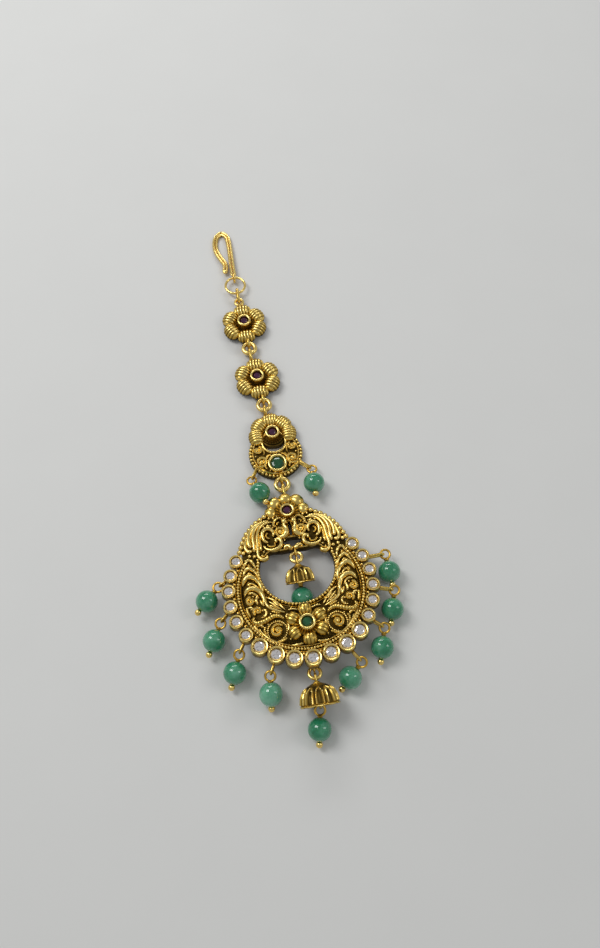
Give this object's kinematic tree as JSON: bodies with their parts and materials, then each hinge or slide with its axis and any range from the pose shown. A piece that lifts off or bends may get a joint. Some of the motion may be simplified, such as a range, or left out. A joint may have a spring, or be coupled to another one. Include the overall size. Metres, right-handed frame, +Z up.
{
  "type": "maang tikka",
  "caption": "Hair ornament with a wire hook, flower links, a small station and an open crescent pendant with bells and cloudy green bead drops.",
  "frame": {"origin": "centre of the ornament's outline, on the surface that it lies on", "axes": "+Y from the pendant to the hair hook, +X across, +Z up, away from the backs of the castings"},
  "size_m": [0.0372, 0.111, 0.0068],
  "materials": {
    "antique_gold": "antique gold plate, bright on the high places and dark brown in the recesses",
    "wire_gold": "polished gold plated wire",
    "green_bead": "glossy cloudy green stone",
    "purple_stone": "deep purple faceted glass",
    "green_stone": "green faceted glass"
  },
  "bodies": {
    "root": {"hook": "wire_gold", "hook_ring": "wire_gold", "top_link": "antique_gold", "flower_link_upper": "antique_gold", "flower_link_lower": "antique_gold", "link_ring_a": "antique_gold", "link_ring_b": "antique_gold", "link_ring_c": "antique_gold", "station": "antique_gold", "pendant": "antique_gold", "inner_ring": "antique_gold", "lower_ring": "antique_gold", "inner_bell": "antique_gold", "lower_bell": "antique_gold", "inner_bead": "green_bead", "inner_pin": "wire_gold", "lower_bead": "green_bead", "lower_pin": "wire_gold", "bead_left_1": "green_bead", "pin_left_1": "wire_gold", "bead_left_2": "green_bead", "pin_left_2": "wire_gold", "bead_left_3": "green_bead", "pin_left_3": "wire_gold", "bead_left_4": "green_bead", "pin_left_4": "wire_gold", "station_bead_left": "green_bead", "station_pin_left": "wire_gold", "bead_right_1": "green_bead", "pin_right_1": "wire_gold", "bead_right_2": "green_bead", "pin_right_2": "wire_gold", "bead_right_3": "green_bead", "pin_right_3": "wire_gold", "bead_right_4": "green_bead", "pin_right_4": "wire_gold", "station_bead_right": "green_bead", "station_pin_right": "wire_gold", "stone_flower_upper": "purple_stone", "stone_flower_lower": "purple_stone", "stone_station_purple": "purple_stone", "stone_station_green": "green_stone", "stone_pendant_purple": "purple_stone", "stone_pendant_green": "green_stone"}
  },
  "joints": []
}
